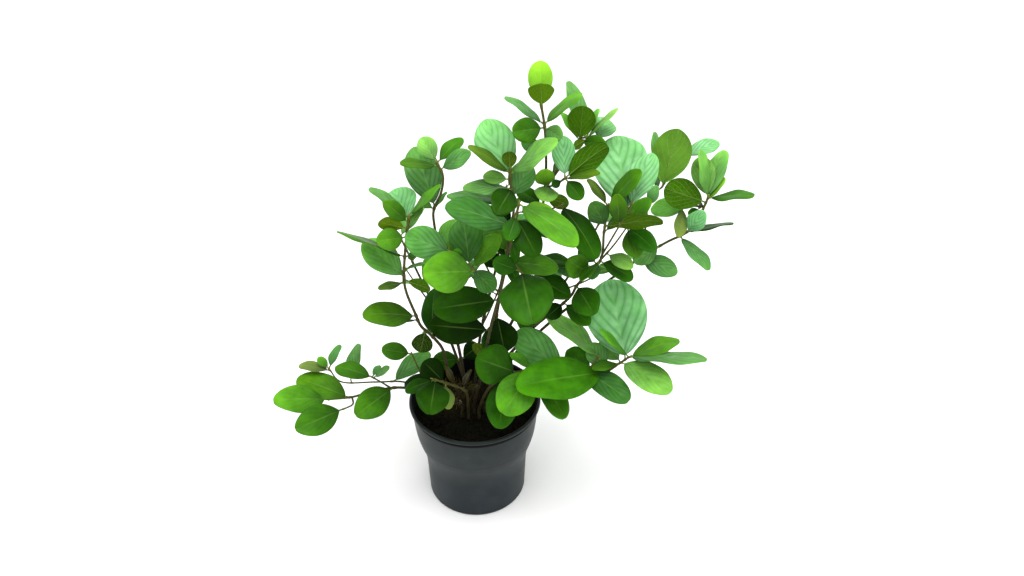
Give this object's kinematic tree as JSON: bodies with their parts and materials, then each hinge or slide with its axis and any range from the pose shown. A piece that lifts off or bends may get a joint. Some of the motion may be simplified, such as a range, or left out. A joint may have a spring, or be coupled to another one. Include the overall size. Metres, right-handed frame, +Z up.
{
  "type": "potted viburnum",
  "caption": "Young viburnum shrub with leafy stems fanning out of a round, dark moulded pot with a rolled lip, a wide collar and a tapered body.",
  "frame": {"origin": "centre of the pot's flat underside, on the pot's axis", "axes": "+Z up along the pot's axis, +X to the right and +Y away from the viewer as the picture shows the plant"},
  "size_m": [0.4781, 0.3173, 0.5107],
  "materials": {
    "pot": "satin dark charcoal, moulded",
    "soil": "moist dark potting compost with pale perlite crumbs",
    "foliage": "leathery leaves, glossy above and matt olive below, on brown stems"
  },
  "bodies": {
    "root": {"pot": "pot", "soil": "soil", "spray_left": "foliage", "stem_back": "foliage", "stem_back_left": "foliage", "stem_back_right": "foliage", "stem_centre": "foliage", "stem_far_right": "foliage", "stem_front": "foliage", "stem_left": "foliage", "stem_low": "foliage", "stem_low_right": "foliage", "stem_right": "foliage", "stem_right_low": "foliage", "stem_top": "foliage", "stem_upper_left": "foliage"}
  },
  "joints": []
}
